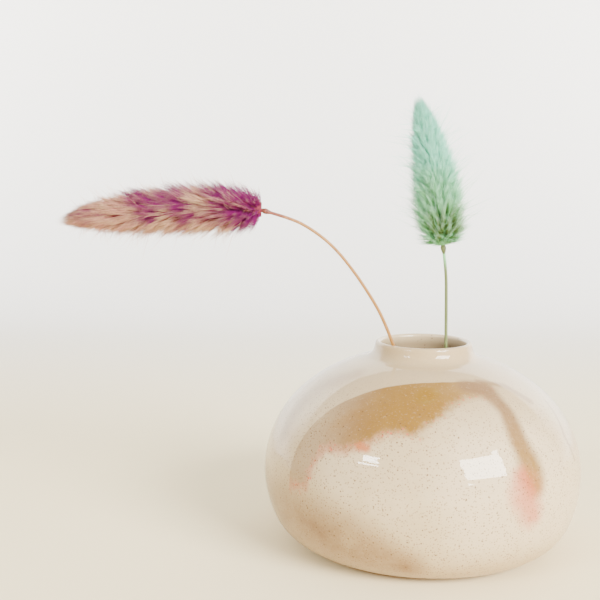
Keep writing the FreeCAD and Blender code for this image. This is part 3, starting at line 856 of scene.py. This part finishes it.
class BUDVASE_OT_straws(bpy.types.Operator):
    """Make the two dried culms and the swollen collars under their heads"""
    bl_idname = "budvase.straws"
    bl_label = "Straws"

    def execute(self, context):
        c = context.scene.stem_colours
        self.straw("rose", straw_material("rose_straw", c.straw, c.russet, 0.90))
        self.straw("green", straw_material("green_straw", c.sage, c.leaf, 0.93))
        dark = tuple(x * 0.3 for x in c.russet)
        self.collar("rose", node_material("rose_node", c.russet, dark))
        self.collar("green", node_material("green_node", c.sage, tuple(x * 0.5 for x in c.sage)))
        return {"FINISHED"}

    def straw(self, stem, material):
        """One culm, thinner towards its head."""
        axis = joint_axis(f"{stem}_stem")
        foot = foot_centre(f"{stem}_culm", axis)
        route = ROUTES[stem]
        seat = foot + axis * route["below_lip"] * MM
        bends = [seat + axis * route["straight"] * MM] + [seat + Vector(b) * MM for b in route["bends"]]
        first = (bends[0] - foot).dot(axis)
        controls = [foot] + [foot + axis * first * share for share in STRAIGHT_RUNS] + bends
        points, far = even_line(smooth_line(controls, f"{stem}_line"), 0.7 * MM)
        share = far / far[-1]
        radii = 0.55 * MM - share * 0.10 * MM + 0.012 * MM * np.sin(far / (9 * MM))
        vertices, faces = tube(points, radii, 14, hollow=0.55)
        piece = new_piece(f"{stem}_straw", vertices, faces, material, f"{stem}_stem",
                          f"{stem}_straw", f"{stem}_culm")
        up = np.repeat(share, 14)
        store(piece.data, "up", np.concatenate([up, np.zeros(len(vertices) - len(up))]))

    def collar(self, stem, material):
        """The ringed swelling where the culm meets the seed head."""
        low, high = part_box(f"{stem}_culm")
        near = (low + high) / 2
        start, end = rod_ends(f"{stem}_collar", near)
        ahead = (end - start).normalized()
        share = np.linspace(-0.12, 1.15, 26)
        points = np.array([tuple(start + ahead * (end - start).length * t) for t in share])
        bulge = np.exp(-((share - 0.45) / 0.36) ** 2)
        ripple = 0.03 * MM * np.sin(share * 26)
        radii = 0.42 * MM + 0.42 * MM * bulge + ripple
        vertices, faces = tube(points, radii, 18)
        new_piece(f"{stem}_node", vertices, faces, material, f"{stem}_stem",
                  f"{stem}_node", f"{stem}_collar")


# ------------------------------------------------------------------ seed heads

def hair_tree():
    """Geometry nodes that grow tapered hairs from a cloud of husk points."""
    tree = bpy.data.node_groups.new("husk_hairs", "GeometryNodeTree")
    face = tree.interface
    face.new_socket("Geometry", in_out="INPUT", socket_type="NodeSocketGeometry")
    for name, kind in (("Hairs", "NodeSocketInt"), ("Radius", "NodeSocketFloat"),
                       ("Spread", "NodeSocketFloat"), ("Scatter", "NodeSocketFloat"),
                       ("Gather", "NodeSocketFloat"),
                       ("Seed", "NodeSocketInt"), ("Material", "NodeSocketMaterial")):
        face.new_socket(name, in_out="INPUT", socket_type=kind)
    face.new_socket("Geometry", in_out="OUTPUT", socket_type="NodeSocketGeometry")
    given = tree.nodes.new("NodeGroupInput").outputs

    def node(kind, settings=None, sockets=None):
        made = tree.nodes.new(kind)
        for name, value in (settings or {}).items():
            setattr(made, name, value)
        for name, value in (sockets or {}).items():
            if isinstance(value, bpy.types.NodeSocket):
                tree.links.new(value, made.inputs[name])
            else:
                made.inputs[name].default_value = value
        return made

    def named(name, kind):
        return node("GeometryNodeInputNamedAttribute", {"data_type": kind},
                    {"Name": name}).outputs["Attribute"]

    def random_vector(seed):
        return node("FunctionNodeRandomValue", {"data_type": "FLOAT_VECTOR"},
                    {0: (-1.0, -1.0, -1.0), 1: (1.0, 1.0, 1.0), "Seed": seed}).outputs[0]

    def vector(operation, first, second):
        return node("ShaderNodeVectorMath", {"operation": operation}, {0: first, 1: second}).outputs[0]

    def scaled(first, factor):
        return node("ShaderNodeVectorMath", {"operation": "SCALE"}, {0: first, "Scale": factor}).outputs[0]

    def number(operation, first, second):
        return node("ShaderNodeMath", {"operation": operation}, {0: first, 1: second}).outputs[0]

    cloud = node("GeometryNodeMeshToPoints", None, {"Mesh": given["Geometry"]}).outputs[0]
    many = node("GeometryNodeDuplicateElements", {"domain": "POINT"},
                {"Geometry": cloud, "Amount": given["Hairs"]}).outputs[0]
    second_seed = number("ADD", given["Seed"], 11)
    third_seed = number("ADD", given["Seed"], 23)
    strand = node("FunctionNodeRandomValue", {"data_type": "FLOAT"},
                  {2: 0.0, 3: 1.0, "Seed": number("ADD", given["Seed"], 37)}).outputs[1]
    marked = node("GeometryNodeStoreNamedAttribute", {"data_type": "FLOAT", "domain": "POINT"},
                  {"Geometry": many, "Name": "strand", "Value": strand}).outputs[0]
    jitter = scaled(random_vector(given["Seed"]), given["Scatter"])
    straight = scaled(named("aim", "FLOAT_VECTOR"), named("reach", "FLOAT"))
    loose = scaled(random_vector(second_seed), given["Spread"])
    whole = vector("SUBTRACT", vector("ADD", straight, loose), scaled(jitter, given["Gather"]))
    moved = node("GeometryNodeSetPosition", None, {"Geometry": marked, "Offset": jitter}).outputs[0]
    kept = node("GeometryNodeStoreNamedAttribute", {"data_type": "FLOAT_VECTOR", "domain": "POINT"},
                {"Geometry": moved, "Name": "whole", "Value": whole}).outputs[0]
    toward = named("whole", "FLOAT_VECTOR")
    turned = node("FunctionNodeAlignRotationToVector", {"axis": "Z"}, {"Vector": toward}).outputs[0]
    distance = node("ShaderNodeVectorMath", {"operation": "LENGTH"}, {0: toward}).outputs["Value"]
    chance = node("FunctionNodeRandomValue", {"data_type": "FLOAT"},
                  {2: 0.62, 3: 1.12, "Seed": third_seed}).outputs[1]
    reach = number("MULTIPLY", distance, chance)
    size = node("ShaderNodeCombineXYZ", None, {0: 1.0, 1: 1.0, 2: reach}).outputs[0]

    cone = node("GeometryNodeMeshCone", {"fill_type": "NGON"},
                {"Vertices": 3, "Side Segments": 3, "Radius Top": 0.0,
                 "Radius Bottom": given["Radius"], "Depth": 1.0}).outputs["Mesh"]
    where = node("GeometryNodeInputPosition").outputs[0]
    tall = node("ShaderNodeSeparateXYZ", None, {0: where}).outputs["Z"]
    fibre = node("GeometryNodeStoreNamedAttribute", {"data_type": "FLOAT", "domain": "POINT"},
                 {"Geometry": cone, "Name": "along", "Value": tall}).outputs[0]
    grown = node("GeometryNodeInstanceOnPoints", None,
                 {"Points": kept, "Instance": fibre, "Rotation": turned, "Scale": size}).outputs[0]
    solid = node("GeometryNodeRealizeInstances", None, {0: grown}).outputs[0]
    along = named("along", "FLOAT")
    sag = scaled(named("bend", "FLOAT_VECTOR"), number("MULTIPLY", along, along))
    bent = node("GeometryNodeSetPosition", None, {"Geometry": solid, "Offset": sag}).outputs[0]
    painted = node("GeometryNodeSetMaterial", None,
                   {"Geometry": bent, "Material": given["Material"]}).outputs[0]
    result = tree.nodes.new("NodeGroupOutput")
    tree.links.new(painted, result.inputs["Geometry"])
    return tree


def grow(cloud, name, tree, values):
    """Run the hair nodes on a cloud of husks and return the plain mesh."""
    mesh = bpy.data.meshes.new(f"{name}_cloud")
    mesh.from_pydata([tuple(p) for p in cloud["place"]], [], [])
    for key in ("aim", "bend"):
        layer = mesh.attributes.new(key, "FLOAT_VECTOR", "POINT")
        layer.data.foreach_set("vector", np.asarray(cloud[key], np.float32).ravel())
    for key in ("reach", "tint", "rise"):
        store(mesh, key, cloud[key])
    holder = bpy.data.objects.new(f"{name}_cloud", mesh)
    bpy.context.scene.collection.objects.link(holder)
    modifier = holder.modifiers.new("hairs", "NODES")
    modifier.node_group = tree
    for item in tree.interface.items_tree:
        if item.in_out == "INPUT" and item.name in values:
            modifier[item.identifier] = values[item.name]
    depsgraph = bpy.context.evaluated_depsgraph_get()
    plain = bpy.data.meshes.new_from_object(holder.evaluated_get(depsgraph))
    holder.modifiers.clear()
    bpy.data.objects.remove(holder)
    bpy.data.meshes.remove(mesh)
    return plain


class Head:
    """A seed head's curved spine with its outline."""

    def __init__(self, stem, droop, outline):
        culm_low, culm_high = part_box(f"{stem}_collar")
        start, end = rod_ends(f"{stem}_rachis", (culm_low + culm_high) / 2)
        core = np.array(end - start)
        self.size = np.linalg.norm(core) / 0.87
        self.start = np.array(start)
        self.ahead = core / np.linalg.norm(core)
        self.droop = np.array(droop) * MM
        self.outline = np.array(outline)

    def spine(self, share):
        """A point of the spine at a share of the head's length."""
        share = np.asarray(share, float)[..., None]
        return self.start + self.ahead * share * self.size + self.droop * share * (1 - share) * 4

    def radius(self, share):
        """Distance from the spine to the hairs' tips at a share of the length."""
        return np.interp(share, self.outline[:, 0], self.outline[:, 1]) * MM

    def frame(self, share):
        """Heading and two sideways directions of the spine."""
        ahead = self.spine(share + 0.01) - self.spine(share - 0.01)
        ahead /= np.linalg.norm(ahead, axis=-1)[..., None]
        front = np.array([0.0, -1.0, 0.0])
        side = np.cross(ahead, front)
        side /= np.linalg.norm(side, axis=-1)[..., None]
        return ahead, side, np.cross(side, ahead)

    def husks(self, number, tint, seed):
        """A cloud of husks up the spine, each a golden angle round from the last.

        Every husk's hairs reach from the core to the outline a little further up.
        """
        rng = np.random.default_rng(seed)
        index = np.arange(number)
        share = 0.015 + 0.87 * (index / (number - 1)) ** 0.95
        turn = index * GOLDEN_ANGLE + rng.normal(0, 0.12, number)
        ahead, side, front = self.frame(share)
        outward = side * np.cos(turn)[:, None] + front * np.sin(turn)[:, None]
        climb = np.interp(share, [0, 0.03, 0.08, 0.18, 0.9], [-0.012, 0.03, 0.075, 0.12, 0.13])
        end = share + climb * rng.uniform(0.8, 1.15, number)
        root = self.spine(share) + outward * (self.radius(share) * 0.36)[:, None]
        tip = self.spine(end) + outward * (self.radius(end) * rng.uniform(0.78, 1.0, number))[:, None]
        bend = ahead * (np.linalg.norm(tip - root, axis=1) * 0.22)[:, None]
        aim = tip - bend - root
        reach = np.linalg.norm(aim, axis=1)
        return {"place": root, "aim": aim / reach[:, None], "bend": bend, "reach": reach,
                "rise": share, "tint": tint(share, turn, rng)}

    def wisps(self, number, reach, seed):
        """Stray long hairs that stand clear of the rest."""
        rng = np.random.default_rng(seed)
        share = rng.uniform(0.05, 0.9, number)
        turn = rng.uniform(0, 2 * math.pi, number)
        ahead, side, front = self.frame(share)
        outward = side * np.cos(turn)[:, None] + front * np.sin(turn)[:, None]
        lean = rng.uniform(0.45, 1.35, number)
        aim = ahead * np.cos(lean)[:, None] + outward * np.sin(lean)[:, None]
        size = reach * MM * rng.uniform(0.55, 1.0, number) * np.interp(share, [0, 0.6, 1.0], [1.0, 0.9, 0.4])
        place = self.spine(share) + outward * (self.radius(share) * 0.4)[:, None]
        swing = rng.normal(0, 1.0, (number, 3)) * 1.3 * MM
        return {"place": place, "aim": aim, "bend": swing, "reach": size, "rise": share,
                "tint": np.full(number, 0.12)}

    def core(self, thickness, rings=40, sides=24):
        """The closed inner body that the hairs grow from."""
        share = np.linspace(0.0, 0.93, rings)
        _, side, front = self.frame(share)
        points = self.spine(share)
        radii = np.maximum(self.radius(share) * thickness, 0.3 * MM)
        rows = np.linspace(0, 2 * math.pi, sides, endpoint=False)
        lumps = 1 + 0.10 * np.sin(share * 70)[:, None] * np.cos(rows * 5)[None, :]
        vertices = [points[i] + (side[i] * math.cos(a) + front[i] * math.sin(a)) * radii[i] * lumps[i, k]
                    for i in range(rings) for k, a in enumerate(rows)]
        faces = []
        for i in range(rings - 1):
            for k in range(sides):
                n = (k + 1) % sides
                faces.append((i * sides + k, (i + 1) * sides + k, (i + 1) * sides + n, i * sides + n))
        faces.append(tuple(range(sides)))
        faces.append(tuple(reversed(range((rings - 1) * sides, rings * sides))))
        return np.array(vertices), faces


# Share of the head's length, then the radius that the hairs reach there in millimetres.
ROSE_OUTLINE = [(-0.02, 3.6), (0.0, 5.2), (0.03, 7.0), (0.08, 8.2), (0.16, 9.2), (0.28, 9.6), (0.45, 8.9),
                (0.65, 8.2), (0.80, 6.2), (0.90, 4.3), (0.96, 2.6), (1.0, 0.9), (1.1, 0.4)]
GREEN_OUTLINE = [(-0.02, 3.6), (0.0, 6.0), (0.04, 8.2), (0.09, 9.2), (0.25, 9.8), (0.45, 9.0), (0.65, 7.2),
                 (0.80, 5.2), (0.92, 3.2), (1.0, 1.2), (1.1, 0.4)]
# Where the dye took on the rose head: share of the length, spread and strength.
ROSE_PATCHES = [(0.06, 0.12, 1.0), (0.33, 0.060, 1.0), (0.51, 0.055, 0.95), (0.82, 0.09, 0.5)]


def rose_tint(share, turn, rng):
    """How strongly the dye took: patches along the upper and front side."""
    dye = np.zeros(len(share))
    for centre, width, strength in ROSE_PATCHES:
        slant = 0.035 * np.sin(turn * 2 + centre * 40) + 0.03 * np.cos(turn - 1.5)
        dye += strength * np.exp(-((share - centre - slant) / width) ** 2)
    facing_up = np.where(share < 0.10, 1.0, 0.5 + 0.5 * np.cos(turn - 0.55))
    spread = 0.30 * facing_up * np.exp(-(share / 0.65) ** 4)
    return np.clip(dye * (0.05 + 1.1 * facing_up) + spread + rng.normal(0, 0.13, len(share)), 0, 1)


def green_tint(share, turn, rng):
    """Olive patch low on one side."""
    patch = np.exp(-((share - 0.12) / 0.10) ** 2) * (0.5 + 0.5 * np.cos(turn - 1.1))
    return np.clip(patch + rng.normal(0, 0.06, len(share)), 0, 1)


def rose_hair_material(c):
    """Hairs: crimson roots painted in shade, dyed or wheat tips, paler towards the end of the head."""
    sh = Shader("rose_hair")
    along, dye, rise = sh.attribute("along"), sh.attribute("tint"), sh.attribute("rise")
    strand = sh.attribute("strand")
    patch = sh.noise(170.0, 3.0, 0.6)
    pink = 0.15 + rise * 0.30 + (patch - 0.5) * 1.1 + (strand - 0.5) * 0.7
    tips = sh.mix(c.wheat, c.blush, pink.clamped())
    dye = (dye + (patch - 0.5) * 0.5 + (strand - 0.55) * 0.35).smooth(0.28, 0.66)
    tips = sh.mix(tips, c.magenta, (dye * along.smooth(1.25, 0.55)).clamped())
    # Painted shade deep in the head: roots are crimson, turning magenta where the dye took.
    roots = sh.mix(c.crimson, c.magenta, dye)
    roots = sh.mix(roots, c.blush, (rise.smooth(0.6, 1.0) * 0.5).clamped())
    base = sh.mix(roots, tips, (along + (strand - 0.5) * 0.35).smooth(0.20, 0.78))
    return sh.finish(Base_Color=base, Roughness=0.62, Specular_IOR_Level=0.25)


def green_hair_material(c):
    """Hairs: leaf green below, turquoise above, pale tips, an olive patch low down."""
    sh = Shader("green_hair")
    along, patch, rise = sh.attribute("along"), sh.attribute("tint"), sh.attribute("rise")
    strand = sh.attribute("strand")
    blot = sh.noise(120.0, 2.0, 0.5) - 0.5
    main = sh.mix(c.leaf, c.aqua, (rise + blot * 0.5).smooth(0.18, 0.62))
    main = sh.mix(main, c.olive, (patch.smooth(0.25, 0.8) * 0.9).clamped())
    base = sh.mix(main, c.mist, (along.smooth(0.35, 1.0) * (0.35 + strand * 0.5)).clamped())
    return sh.finish(Base_Color=base, Roughness=0.60, Specular_IOR_Level=0.25)


def husk_material(name, tone):
    """Papery core seen between the hairs."""
    sh = Shader(name)
    streak = sh.noise(700.0, 3.0, 0.6)
    base = sh.mix(tuple(x * 0.6 for x in tone), tone, streak.smooth(0.35, 0.65))
    sh.bump(streak, 0.0001, 0.8)
    return sh.finish(Base_Color=base, Roughness=0.8)


class BUDVASE_OT_heads(bpy.types.Operator):
    """Grow the two soft seed heads, husk by husk"""
    bl_idname = "budvase.heads"
    bl_label = "Seed Heads"

    def execute(self, context):
        c = context.scene.stem_colours
        s = context.scene.head_sizes
        tree = hair_tree()
        rose = Head("rose", (0.0, 0.0, 1.4), ROSE_OUTLINE)
        green = Head("green", (0.9, 0.0, 0.0), GREEN_OUTLINE)
        # The rose core takes the crimson of the roots: painted shade between the hairs.
        self.head(rose, "rose", s, s.rose_tufts, rose_tint, 12.5, tree,
                  rose_hair_material(c), husk_material("rose_husk", c.crimson), 5)
        self.head(green, "green", s, s.green_tufts, green_tint, 16.0, tree,
                  green_hair_material(c), husk_material("green_husk", c.leaf), 8)
        return {"FINISHED"}

    def head(self, head, stem, s, tufts, tint, long_reach, tree, hair, husk, seed):
        """One head: core, husk hairs in batches, and wisps."""
        body = f"{stem}_stem"
        vertices, faces = head.core(0.40)
        new_piece(f"{stem}_core", vertices, faces, husk, body, f"{stem}_husk", f"{stem}_rachis",
                  f"{stem}_spikelets")
        cloud = head.husks(tufts, tint, seed)
        batches = 2
        for batch in range(batches):
            part = {key: value[batch::batches] for key, value in cloud.items()}
            mesh = grow(part, f"{stem}_hair", tree,
                        {"Hairs": s.tuft_hairs, "Radius": s.hair_radius, "Spread": 0.62 * MM,
                         "Scatter": 0.70 * MM, "Gather": 0.9, "Seed": seed * 10 + batch, "Material": hair})
            piece = adopt(mesh, f"{stem}_hair_{batch + 1}", hair, body, f"{stem}_hair", f"{stem}_plume")
            piece.data.polygons.foreach_set("use_smooth", [True] * len(mesh.polygons))
        stray = head.wisps(s.wisps, long_reach, seed + 1)
        mesh = grow(stray, f"{stem}_wisp", tree,
                    {"Hairs": 1, "Radius": s.wisp_radius, "Spread": 0.5 * MM, "Scatter": 0.0, "Gather": 0.0,
                     "Seed": seed, "Material": hair})
        adopt(mesh, f"{stem}_wisps", hair, body, f"{stem}_hair", f"{stem}_plume")


# ------------------------------------------------------------------ stage

def area_light(name, place, target, size, power, tone=(1.0, 1.0, 1.0)):
    """A rectangular light aimed at a point."""
    light = bpy.data.lights.new(name, "AREA")
    light.shape = "RECTANGLE"
    light.size, light.size_y = size
    light.energy = power
    light.color = tone
    lamp = bpy.data.objects.new(name, light)
    lamp.location = place
    lamp.rotation_euler = (Vector(target) - Vector(place)).to_track_quat("-Z", "Y").to_euler()
    bpy.context.scene.collection.objects.link(lamp)
    return lamp


class BUDVASE_OT_stage(bpy.types.Operator):
    """Set the pale table and its sweep up to the backdrop, the soft light and the camera"""
    bl_idname = "budvase.stage"
    bl_label = "Stage"

    def execute(self, context):
        s = context.scene.stage_sizes
        wide, near, bend, rise, high = 2.0, -3.0, 0.45, 0.5, 0.95
        turn = [math.pi / 2 * k / 24 for k in range(25)]
        sweep = [(near, 0.0)] + [(bend + rise * math.sin(a), rise * (1 - math.cos(a))) for a in turn]
        sweep += [(bend + rise, high)]
        vertices = [(x, y, z) for y, z in sweep for x in (-wide, wide)]
        faces = [(2 * k, 2 * k + 1, 2 * k + 3, 2 * k + 2) for k in range(len(sweep) - 1)]
        mesh = bpy.data.meshes.new("backdrop")
        mesh.from_pydata(vertices, [], faces)
        mesh.polygons.foreach_set("use_smooth", [True] * len(faces))
        mesh.materials.append(self.backdrop_material(s))
        backdrop = bpy.data.objects.new("backdrop", mesh)
        context.scene.collection.objects.link(backdrop)
        middle = (0.0, 0.0, 0.05)
        area_light("window", (0.92, -1.05, 0.68), middle, (0.80, 0.62), s.window, (1.0, 0.985, 0.96))
        area_light("left_strip_low", (-0.99, -0.95, 0.69), middle, (0.40, 0.085), 7.0)
        area_light("left_strip_high", (-0.93, -0.91, 0.84), middle, (0.32, 0.060), 4.6)
        for side, name in ((-1, "wash_left"), (1, "wash_right")):
            area_light(name, (side * 0.9, 0.30, 0.70), (side * 0.9, 1.0, 0.78), (0.8, 0.8), s.fill)
        world = bpy.data.worlds.new("even_light")
        world.use_nodes = True
        sky = world.node_tree.nodes["Background"]
        sky.inputs["Color"].default_value = (1.0, 0.995, 0.98, 1.0)
        sky.inputs["Strength"].default_value = s.sky
        context.scene.world = world
        self.camera(context, s)
        return {"FINISHED"}

    def backdrop_material(self, s):
        """Warm table tone near the vase, paler as the sweep climbs."""
        sh = Shader("backdrop")
        back = Value(sh, sh.node("ShaderNodeSeparateXYZ", None, {0: sh.place}).outputs["Y"])
        base = sh.mix(s.floor, s.wall, back.smooth(0.05, 0.55))
        return sh.finish(Base_Color=base, Roughness=0.85)

    def camera(self, context, s):
        """The camera a little above the rim, left of the vase."""
        lens = bpy.data.cameras.new("camera")
        lens.sensor_width = 36.0
        lens.lens = s.lens
        lens.clip_start = 0.01
        camera = bpy.data.objects.new("camera", lens)
        camera.location = (-0.0394, -0.31375, 0.11775)
        camera.rotation_mode = "QUATERNION"
        level = Quaternion((1, 0, 0), math.radians(90 - 7.40))
        camera.rotation_quaternion = level @ Quaternion((0, 0, 1), math.radians(0.38))
        context.scene.collection.objects.link(camera)
        context.scene.camera = camera


# ------------------------------------------------------------------ add-on

SETTINGS = (("bud_vase", VaseSizes), ("glaze_colours", GlazeColours), ("stem_colours", StemColours),
            ("head_sizes", HeadSizes), ("stage_sizes", StageSizes))
OPERATORS = (BUDVASE_OT_clay, BUDVASE_OT_glaze, BUDVASE_OT_straws, BUDVASE_OT_heads, BUDVASE_OT_stage)


class BUDVASE_PT_panel(bpy.types.Panel):
    """The steps that make the vase, in order"""
    bl_idname = "BUDVASE_PT_panel"
    bl_label = "Bud Vase"
    bl_space_type = "VIEW_3D"
    bl_region_type = "UI"
    bl_category = "Bud Vase"

    def draw(self, context):
        for operator in OPERATORS:
            self.layout.operator(operator.bl_idname)
        for name, group in SETTINGS:
            box = self.layout.box()
            for key in group.__annotations__:
                box.prop(getattr(context.scene, name), key)


def register():
    """Add the settings, the operators and the panel."""
    for name, group in SETTINGS:
        bpy.utils.register_class(group)
        setattr(bpy.types.Scene, name, bpy.props.PointerProperty(type=group))
    for item in (*OPERATORS, BUDVASE_PT_panel):
        bpy.utils.register_class(item)


def unregister():
    """Take them away again."""
    for item in (BUDVASE_PT_panel, *reversed(OPERATORS)):
        bpy.utils.unregister_class(item)
    for name, group in reversed(SETTINGS):
        delattr(bpy.types.Scene, name)
        bpy.utils.unregister_class(group)


def main():
    """Make every piece."""
    register()
    bpy.ops.budvase.clay()
    bpy.ops.budvase.glaze()
    bpy.ops.budvase.straws()
    bpy.ops.budvase.heads()
    bpy.ops.budvase.stage()
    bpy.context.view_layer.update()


if __name__ == "__main__":
    main()
